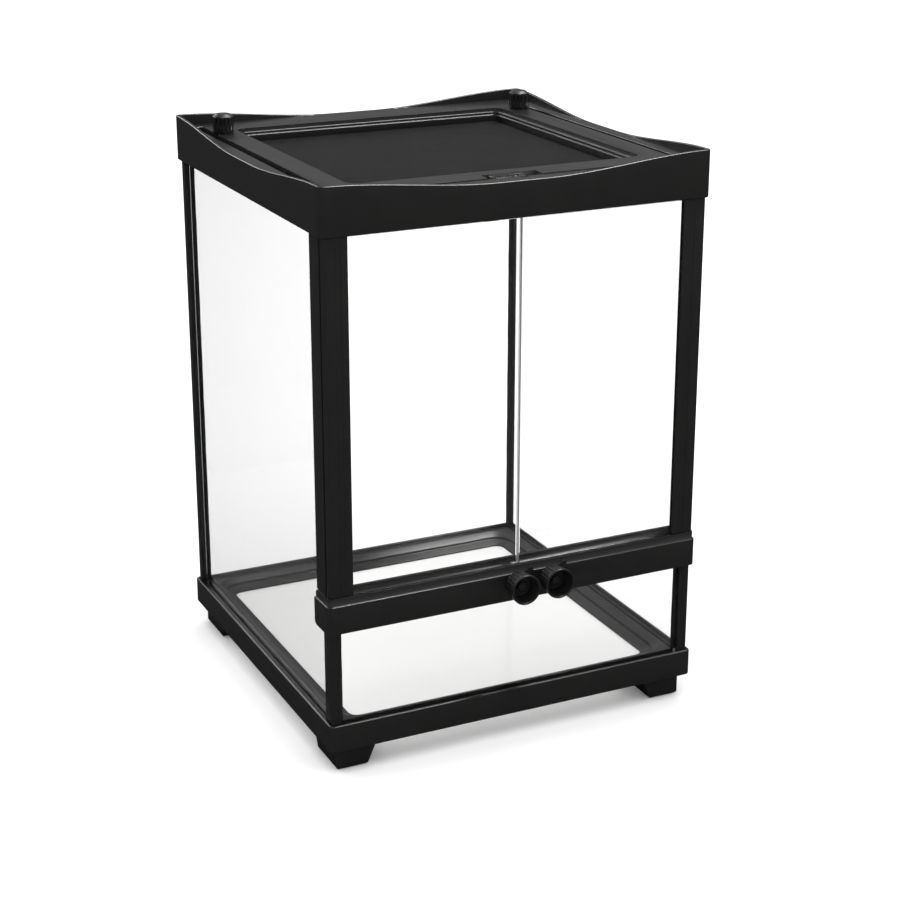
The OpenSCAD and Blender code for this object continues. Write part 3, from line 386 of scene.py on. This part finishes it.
def silicone_fillet(x, y, turn_x, turn_y, low, high, steps=48):
    """A quarter-round hollow between two panes, carried upwards: leg * (1 + sin t) and leg * (1 + cos t)
    from the corner, with the leg swelling and shrinking by a few hundredths as the finger drew it."""
    t = np.linspace(np.pi, 1.5 * np.pi, 7)
    hollow = np.stack([1 + np.cos(t), 1 + np.sin(t)], 1)
    outline = np.concatenate([[[0, 0]], hollow[::-1]])
    height = np.linspace(low, high, steps)
    drawn = FILLET_LEG * (1 + 0.03 * np.sin(height / 9) + 0.02 * np.sin(height / 3.7 + x))
    grid = outline * drawn[:, None, None] * (turn_x, turn_y) + (x, y)
    return np.concatenate([grid, np.broadcast_to(height[:, None, None], (*grid.shape[:2], 1))], -1)


def block(x, y, z, centre):
    """A plain block between two values each of x and y, from the centre, and of z, from the ground."""
    (x0, x1), (y0, y1) = sorted(x), sorted(y)
    corners = np.array([(x0, y0), (x1, y0), (x1, y1), (x0, y1)]) + centre[:2]
    return closed_upright(corners, *z)


def cad_top(node):
    """Height of a CAD node's top, in millimetres."""
    centre, half = cad_size(node)
    return centre[2] + half[2]


seal_centre, seal_half = cad_size("corner_seals")
seal_low = lip_top - 1
back_seal_top, front_seal_top = cad_top("back_left_trim"), cad_top("lower_left_trim")
pane_t = 2 * cad_size("back_glass")[1][1]
fillets = []
for x_sign in (-1, 1):
    for y_sign in (-1, 1):
        seal_top = back_seal_top if y_sign > 0 else front_seal_top
        corner_x, corner_y = x_sign * seal_half[0], seal_centre[1] + y_sign * seal_half[1]
        fillet = silicone_fillet(corner_x, corner_y, -x_sign, -y_sign, seal_low, seal_top)
        fillets.append(skin(fillet, close_rows=False, caps=True))
across_joint = np.array([TOUCH, JOINT - TOUCH])
along_joint = np.array([-UNDER_FILLET, pane_t - END_SHORT])
# Beside the back pane's ends
for x_sign in (-1, 1):
    fillets.append(block(x_sign * (seal_half[0] - across_joint), seal_half[1] + along_joint,
                         (seal_low, back_seal_top), seal_centre))
# Behind the ends of the lower window
for x_sign in (-1, 1):
    fillets.append(block(x_sign * (seal_half[0] + along_joint), across_joint - seal_half[1],
                         (seal_low, front_seal_top), seal_centre))
piece("corner_fillets", fillets, silicone, "housing", "silicone", "corner_seals", sharp=60)
moulded_copy("floor_bead", "floor_seal", silicone, "housing", 0.2)

# Corner trims and posts
# Extruded polypropylene angles glued over the corners of the glass, and the two channels that cover the
# front edges of the side panes behind the doors.
for node in ("back_left_trim", "back_right_trim", "lower_left_trim", "lower_right_trim"):
    moulded_copy(f"{node}_angle", node, trim_plastic, "housing", 0.6)
for side in ("left", "right"):
    post = f"{side}_post"
    moulded_copy(f"{post}_channel", post, trim_plastic, "housing", 0.5)

# Front bar
# An ABS moulding clipped over the lower window and round both front corners. Its upper strip is set
# back, and it carries the doors' lower pins and the knobs.
moulded_copy("front_rail", "front_bar", frame_plastic, "housing", 0.8)

# Top ring
# One ABS moulding that caps the glass box. Its rim is a thin wall, high at the corners, which dips
# to the ledge along the middle of each side; inside the ledge is the pocket of the lid.
RIM_H, RIM_T = 9, 3
# Half length of the rim's low middle, and the distance from the corner at which it is at full height
RIM_LOW, RIM_END = 20, 3
SIDE_WALL, FRONT_WALL = 12, 13.5
POCKET_DROP, SEAT_REACH, SEAT_T = 9.5, 34, 2.5
top_centre, top_half = cad_size("top_frame")
top_low, rim_top = cad_top("left_post"), cad_top("top_frame")
ledge = rim_top - RIM_H
seat = ledge - POCKET_DROP
# Each point is an inset from the outer face, a height, and the radius of the rounded edge
top_section = rounded([
    (0, top_low, 0.9), (0, rim_top, 0.9), (RIM_T - 0.2, rim_top, 0.7), (RIM_T, ledge, 0),
    (SIDE_WALL, ledge, 0.8), (SIDE_WALL, seat, 0.2), (SEAT_REACH, seat, 0.6),
    (SEAT_REACH, seat - SEAT_T, 0.6), (LEG_FAR, seat - SEAT_T, 0.3), (LEG_FAR, top_low, 0.5)], 5)
top_inset = top_section[:, 0]
top_corner = np.interp(top_inset, [0, RIM_T, SIDE_WALL, 14.4, SEAT_REACH], [CORNER_R, 2, 4, 6, 10])
# The pocket's front and back walls are thicker than its side walls
walls = [0, RIM_T, SIDE_WALL, LEG_FAR, SEAT_REACH]
top_inset_y = np.interp(top_inset, walls, [0, RIM_T, FRONT_WALL, LEG_FAR, SEAT_REACH])
top_grid = ring(top_inset, top_inset_y, top_section[:, 1], top_corner, top_half, top_centre, side_steps=72)
# The wave: at a distance s from the middle of its side the rim is RIM_H (3 - 2t) t t high, where t goes
# from 0 at s = RIM_LOW to 1 at RIM_END from the corner
along = np.abs(top_grid[..., :2] - top_centre[:2]).min(-1)
t = np.clip((along - RIM_LOW) / (top_half[0] - RIM_END - RIM_LOW), 0, 1)
lowered = top_grid[..., 2] - RIM_H * (1 - (3 - 2 * t) * t * t)
on_rim = top_grid[..., 2] > ledge + 0.01
# The rim's outer edge keeps its rounding down to the ledge, and its inner side ends at the ledge
outer_edge = np.broadcast_to((top_inset < 1.3)[:, None], on_rim.shape)
waved = np.where(outer_edge, lowered, np.maximum(lowered, ledge))
top_grid[..., 2] = np.where(on_rim, waved, top_grid[..., 2])

# What is cut out of the moulding: first insets from the outer face, then places from the ring's middle
SIDE_SLOT_FRONT, PIN_INSET = 11.6, 5.3
CAM_POCKET_INSETS, LATCH_INSETS, STOP_INSETS = (9, 13), (10, LEG_FAR), (8.9, 11.9)
CAM_POCKET_Y, STOP_HALF_W = (93, 112), 139.7
# The latch's tongue drops through the notch and runs sideways into the slot, both in the front wall
NOTCH_X, TONGUE_SLOT_X = (1, 9), (5, 17)
PIN_R, PIN_PLAY, PIN_DEPTH = 1.5, 0.05, 10
pane_inner = top_half[0] - PANE_FAR
slot = np.array([top_half[0] - SLOT_FAR, top_half[0] - SLOT_NEAR])
slot_z = (top_low - 1, seat - 0.5)
pin_place, bore_top = top_half[0] - PIN_INSET, top_low + PIN_DEPTH
turn = np.linspace(0, 2 * np.pi, 24, endpoint=False)
pin_circle = (PIN_R + PIN_PLAY) * np.stack([np.cos(turn), np.sin(turn)], 1)
cam_pocket = top_half[0] - np.array(CAM_POCKET_INSETS)
latch_y, stop_y = (np.array(insets) - top_half[1] for insets in (LATCH_INSETS, STOP_INSETS))
cam_pocket_low, lock_low, tongue_slot_top = seat + 2.2, seat + 6.1, ledge - 1.2
top_cuts = [
    # Slots over the back pane and the two side panes
    block((-pane_inner, pane_inner), slot, slot_z, top_centre),
    *[block(sign * slot, (SIDE_SLOT_FRONT - top_half[1], slot[1]), slot_z, top_centre) for sign in (-1, 1)],
    # Bores of the upper hinge pins
    *[closed_upright(pin_circle + top_centre[:2] + (sign * pin_place, -pin_place), top_low - 1, bore_top)
      for sign in (-1, 1)],
    # Pockets that the lid's cams turn into
    *[block(sign * cam_pocket, CAM_POCKET_Y, (cam_pocket_low, lock_low), top_centre) for sign in (-1, 1)],
    # Notch and slot for the latch's tongue
    block(NOTCH_X, latch_y, (lock_low, rim_top), top_centre),
    block(TONGUE_SLOT_X, latch_y, (lock_low, tongue_slot_top), top_centre)]
# A strip under the front wall stops the tops of the doors
door_stop = block((-STOP_HALF_W, STOP_HALF_W), stop_y, (top_low - 2, top_low + 1), top_centre)
piece("top_ring", [skin(top_grid), door_stop], frame_plastic, "housing", "black_plastic", "top_frame",
      sharp=40, cuts=top_cuts)

# Doors
# Each door is a pane gripped by an extruded ABS stile, which turns on a steel pin at its top and bottom.
# A shallow groove runs down the stile's face.
STILE_W, STILE_T, STILE_R = 19.5, 6.6, 3.25
GROOVE_T, GRIP, GRIP_FRONT, GRIP_BACK = 0.4, 11.1, 1.2, 5.4
stile_outline = rounded([
    (0, 0, STILE_R), (9.4, 0, 0.2), (9.7, GROOVE_T, 0.2), (13.7, GROOVE_T, 0.2), (14, 0, 0.2),
    (STILE_W, 0, 1), (STILE_W, GRIP_FRONT, 0.2), (STILE_W - GRIP, GRIP_FRONT, 0.2),
    (STILE_W - GRIP, GRIP_BACK, 0.2), (STILE_W, GRIP_BACK, 0.2), (STILE_W, STILE_T, 1),
    (0, STILE_T, STILE_R)], 6)
for side, mirror in (("left", 1), ("right", -1)):
    centre, half = cad_size(f"{side}_door_stile")
    hinge_edge, front_face = centre[0] - mirror * half[0], centre[1] - half[1]
    stile = upright(stile_outline, centre[2] - half[2], centre[2] + half[2], 0.15)
    stile = stile * (mirror, 1, 1) + (hinge_edge, front_face, 0)
    piece(f"{side}_stile", [skin(stile, close_rows=False, caps=True)], frame_plastic, f"{side}_door",
          "black_plastic", f"{side}_door_stile", sharp=40)
    pane(f"{side}_door_pane", f"{side}_door_glass", f"{side}_door", pane_glass)

# Door knobs
# Moulded polypropylene cups, narrow at the bar, with flutes for the fingers, and a boss and a web inside.
# Each is pressed on a spindle whose tongue turns up in front of its door.
KNOB_R, KNOB_BASE_R, KNOB_L, KNOB_GAP = 12, 9.5, 16.9, 2.6
RIM_BAND, KNOB_WALL, KNOB_HOLLOW = 2, 1.5, 12.5
BOSS_R, BOSS_H = 3.2, 5
FLUTES, FLUTE_R, FLUTE_OUT = 24, 0.8, 0.24
WEB_T, WEB_L, WEB_EDGE = 1.2, 9, 0.15
# Distances of the web's front and back from the bar
WEB_FRONT, WEB_BACK = 11, 6.5
# Polished in the mould, so it shines more than the frame and shows its flutes as fine bright lines
knob_plastic = moulded_plastic("moulded_PP_gloss_black", "#131313", "#1a1a1a", 0.32, 0.5, 0.01)


def knob_cup(axis_x, face_y, axis_z):
    """The knob's section (radius, distance from the bar) turned about its axis. Where the outside is
    fluted the radius drops by sqrt(FLUTE_R ^ 2 - w ^ 2) - FLUTE_OUT, w being the arc to the nearest
    flute, and the flutes run out over 1.2 mm before the rim's plain band."""
    rim = KNOB_GAP + KNOB_L
    hollow = rim - KNOB_HOLLOW
    section = rounded([
        (0, KNOB_GAP, 0), (KNOB_BASE_R, KNOB_GAP, 0.6), (KNOB_R, rim - RIM_BAND, 1.5), (KNOB_R, rim, 0.7),
        (KNOB_R - KNOB_WALL, rim, 0.7), (8.9, hollow + 0.4, 1), (BOSS_R, hollow, 0.5),
        (BOSS_R, hollow + BOSS_H, 0.5), (0, hollow + BOSS_H, 0)], 4)
    # More points along the straight outside, which lies 9 to 27 mm along the section
    step = np.concatenate([[0], np.cumsum(np.linalg.norm(np.diff(section, axis=0), axis=1))])
    finer = np.unique(np.concatenate([step, np.arange(9, 27, 0.6)]))
    section = np.stack([np.interp(finer, step, section[:, k]) for k in (0, 1)], 1)
    radius, out = section[:, :1], section[:, 1:]
    turn = np.linspace(0, 2 * np.pi, FLUTES * 10, endpoint=False)
    pitch = 2 * np.pi / FLUTES
    arc = ((turn + pitch / 2) % pitch - pitch / 2) * radius
    depth = np.sqrt(np.maximum(FLUTE_R ** 2 - arc ** 2, 0)) - FLUTE_OUT
    run_out = np.clip((rim - RIM_BAND - out) / 1.2, 0, 1) ** 0.5
    before_rim = (np.arange(len(section)) < section[:, 1].argmax())[:, None]
    r = radius - np.where(before_rim & (radius > KNOB_BASE_R - 0.5), np.maximum(depth, 0) * run_out, 0)
    return np.stack([axis_x + r * np.cos(turn), face_y - out + 0 * turn, axis_z + r * np.sin(turn)], -1)


bar_face = base_centre[1] - base_half[1]
web_outline = rounded([(-WEB_T / 2, 0, 0.1), (WEB_T / 2, 0, 0.1), (WEB_T / 2, WEB_L, 0.1),
                       (-WEB_T / 2, WEB_L, 0.1)], 2)
for side in ("left", "right"):
    centre, half = cad_size(f"{side}_knob")
    cup = skin(knob_cup(centre[0], bar_face, centre[2]), close_rows=False)
    web = upright(web_outline, -WEB_FRONT, -WEB_BACK, WEB_EDGE)
    web = web[..., [0, 2, 1]] + (centre[0], bar_face, centre[2])
    piece(f"{side}_knob_cup", [cup, skin(web, close_rows=False, caps=True)], knob_plastic,
          f"{side}_door_knob", "soft_black_plastic", f"{side}_knob", sharp=50)
    for part in ("spindle", "spindle_nut"):
        moulded_copy(f"{side}_{part}_moulding", f"{side}_{part}", trim_plastic, f"{side}_door_knob",
                     0.25)

# Lid
# An ABS moulding with a wide flat rail round a deep recess, dropped into the pocket of the top ring.
# A separate beaded ring is pressed down in the recess and clamps the screen.
moulded_copy("lid_rails", "lid_frame", frame_plastic, "lid", 0.6)
RETAINER_W, BEAD_NEAR, BEAD_FAR = 5, 0.8, 3.6
OUTER_STEP, INNER_STEP = 1.2, 2.4
retainer_centre, retainer_half = cad_size("mesh_retainer")
bottom, top = retainer_centre[2] - retainer_half[2], retainer_centre[2] + retainer_half[2]
# Each point is an inset from the recess wall, a height, and the radius of the rounded edge
retainer_section = rounded([
    (0, bottom, 0.2), (0, top - OUTER_STEP, 0.5), (BEAD_NEAR, top - OUTER_STEP, 0.2), (BEAD_NEAR, top, 0.7),
    (BEAD_FAR, top, 0.7), (BEAD_FAR, top - INNER_STEP, 0.3), (RETAINER_W, top - INNER_STEP, 0.6),
    (RETAINER_W, bottom, 0.2)])
retainer_inset = retainer_section[:, 0]
retainer_corner = np.interp(retainer_inset, [0, BEAD_NEAR, BEAD_FAR, RETAINER_W], [8.4, 7.6, 4.8, 4.4])
retainer_grid = ring(retainer_inset, retainer_inset, retainer_section[:, 1], retainer_corner,
                     retainer_half, retainer_centre)
piece("screen_retainer", [skin(retainer_grid)], trim_plastic, "lid", "soft_black_plastic", "mesh_retainer")

# Screen
# Black powder-coated wire cloth, cut to the recess and clamped under the retainer. The wires run
# straight in two layers that are pressed into each other, and each wire has six faces.
WIRE, PITCH, LAYER_RISE, SHEET_CORNER = 0.42, 1.2, 0.09, 8.6


def wire_layer(centre, half, along, level):
    """Square wires side by side, each as long as the rounded sheet is there, all as one array: eight
    corners a wire, at half its length along it and WIRE / 2 across and up."""
    across = 1 - along
    place = np.arange(-half[across] + PITCH / 2, half[across], PITCH)
    beyond = np.maximum(np.abs(place) - (half[across] - SHEET_CORNER), 0)
    length = half[along] - SHEET_CORNER + np.sqrt(np.maximum(SHEET_CORNER ** 2 - beyond ** 2, 0))
    sign = np.array([[a, b, c] for a in (-1, 1) for b, c in ((-1, -1), (1, -1), (1, 1), (-1, 1))])
    points = np.empty((len(place), 8, 3))
    points[..., along] = centre[along] + sign[:, 0] * length[:, None]
    points[..., across] = centre[across] + place[:, None] + sign[:, 1] * WIRE / 2
    points[..., 2] = level + sign[:, 2] * WIRE / 2
    cube = np.array([(0, 1, 2, 3), (7, 6, 5, 4), (0, 4, 5, 1), (1, 5, 6, 2), (2, 6, 7, 3), (3, 7, 4, 0)])
    faces = (cube[None] + 8 * np.arange(len(place))[:, None, None]).reshape(-1, 4).tolist()
    return points.reshape(-1, 3), faces


# The coating is duller than the mouldings, so the screen reads as a dark grey haze
screen_wire = moulded_plastic("coated_screen_wire", "#151515", "#1c1c1c", 0.5, 0.3, 0.02)
centre, half = cad_size("screen_mesh")
layers = [wire_layer(centre, half, along, centre[2] + rise)
          for along, rise in ((0, LAYER_RISE), (1, -LAYER_RISE))]
piece("screen_cloth", layers, screen_wire, "lid", "screen_wire", "screen_mesh")

# Lid knobs and latch
# Two eight-sided turn knobs with grip grooves, each pressed on a shaft whose cam turns under the ledge,
# and a ribbed slide that runs its tongue under the front ledge. All are polypropylene mouldings.
# The dullest and darkest plastic of the object, so that the locks stand out from the lid's rail
lock_plastic = moulded_plastic("moulded_PP_dull_black", "#0c0c0c", "#121212", 0.52, 0.5, 0.02)
for side in ("left", "right"):
    for part in ("knob", "cam"):
        moulded_copy(f"{side}_lid_{part}_moulding", f"{side}_lid_{part}", lock_plastic,
                     f"{side}_lid_lock", 0.3)
moulded_copy("latch_slide_moulding", "lid_latch", lock_plastic, "latch_slide", 0.15)

# Hinge pins
# Cut lengths of bright drawn steel wire, pressed into the ends of the stiles. They stay as the CAD has
# them, and only a glint of them shows between the stiles and the frames.
steel, tree, surface = new_material("drawn_steel_pin")
shader = add(tree, "ShaderNodeBsdfPrincipled", {
    "Base Color": linear("#b9bcbf"), "Metallic": 1.0, "Roughness": 0.3})
tree.links.new(shader.outputs[0], surface)
for side in ("left", "right"):
    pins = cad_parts[f"{side}_hinge_pins"]
    pins.data.materials.clear()
    pins.data.materials.append(steel)

# Floor, lights and camera
# A matt white floor under an even white tent. Glossy faces see a dimmer tent and floor than the eye
# does, as if black flags stood round the object, and two narrow lights draw the mouldings' edges.
REACH = 15.0
floor_mesh = bpy.data.meshes.new("studio_floor")
floor_corners = [(-REACH, -REACH, 0), (REACH, -REACH, 0), (REACH, REACH, 0), (-REACH, REACH, 0)]
floor_mesh.from_pydata(floor_corners, [], [(0, 1, 2, 3)])
floor = bpy.data.objects.new("studio_floor", floor_mesh)
bpy.context.scene.collection.objects.link(floor)
floor_paint, tree, surface = new_material("matt_white_floor")
pale = add(tree, "ShaderNodeBsdfDiffuse", {"Color": linear("#f8f8f8")})
dim = add(tree, "ShaderNodeBsdfDiffuse", {"Color": linear("#585858")})
rays = add(tree, "ShaderNodeLightPath")
mix = add(tree, "ShaderNodeMixShader", {
    0: rays.outputs["Glossy Depth"], 1: pale.outputs[0], 2: dim.outputs[0]})
tree.links.new(mix.outputs[0], surface)
floor_mesh.materials.append(floor_paint)

world = bpy.data.worlds.new("studio_tent")
world.use_nodes = True
world.cycles.sampling_method = "NONE"
tree = world.node_tree
tree.nodes.clear()
way = add(tree, "ShaderNodeSeparateXYZ", {0: add(tree, "ShaderNodeTexCoord").outputs["Generated"]})
# In reflections the tent is dark at the horizon, and dims again overhead
flagged = add(tree, "ShaderNodeMapRange", {
    "Value": way.outputs["Z"], "From Min": 0.0, "From Max": 0.32, "To Min": 0.12, "To Max": 0.42})
hooded = add(tree, "ShaderNodeMapRange", {
    "Value": way.outputs["Z"], "From Min": 0.4, "From Max": 0.75, "To Min": 1.0, "To Max": 0.5})
tent = add(tree, "ShaderNodeMath", {0: flagged.outputs[0], 1: hooded.outputs[0]}, operation="MULTIPLY")
rays = add(tree, "ShaderNodeLightPath")
strength = add(tree, "ShaderNodeMix", {
    0: rays.outputs["Glossy Depth"], 2: 1.15, 3: tent.outputs[0]}, data_type="FLOAT")
sky = add(tree, "ShaderNodeBackground", {"Color": linear("#ffffff"), "Strength": strength.outputs[0]})
tree.links.new(sky.outputs[0], add(tree, "ShaderNodeOutputWorld").inputs["Surface"])
bpy.context.scene.world = world

# The softbox lights matt faces only, and the two narrow lights show only in glossy ones
for name, place, aim, size, watts, on_gloss in (
        ("ceiling_softbox", (0, 0, 3.2), (0, 0, 0), (5, 5), 96, False),
        ("front_edge_light", (0.79, -0.2, 2.24), (0, 0, 0.42), (0.7, 0.35), 108, True),
        ("left_edge_light", (-0.55, 1.9, 1.37), (0, 0, 0.4), (0.8, 0.5), 17, True)):
    lamp = bpy.data.lights.new(name, "AREA")
    lamp.shape = "RECTANGLE"
    lamp.size, lamp.size_y = size
    lamp.energy = watts
    holder = bpy.data.objects.new(name, lamp)
    bpy.context.scene.collection.objects.link(holder)
    holder.location = place
    holder.rotation_euler = (Vector(aim) - Vector(place)).to_track_quat("-Z", "Y").to_euler()
    holder.visible_camera = False
    holder.visible_transmission = False
    holder.visible_glossy = on_gloss
    holder.visible_diffuse = not on_gloss

# The camera looks down at the object over its front left corner
camera = bpy.data.cameras.new("photo_view")
camera.lens = 77.9
camera.sensor_width = 36
camera.shift_y = -0.04
camera.clip_end = 60
eye = bpy.data.objects.new("photo_view", camera)
bpy.context.scene.collection.objects.link(eye)
eye.location = (-0.6371, -1.35765, 0.7262)
eye.rotation_euler = (math.radians(90 - 18.64), 0, math.radians(-25.54))
bpy.context.scene.camera = eye
bpy.context.scene.view_settings.view_transform = "Standard"
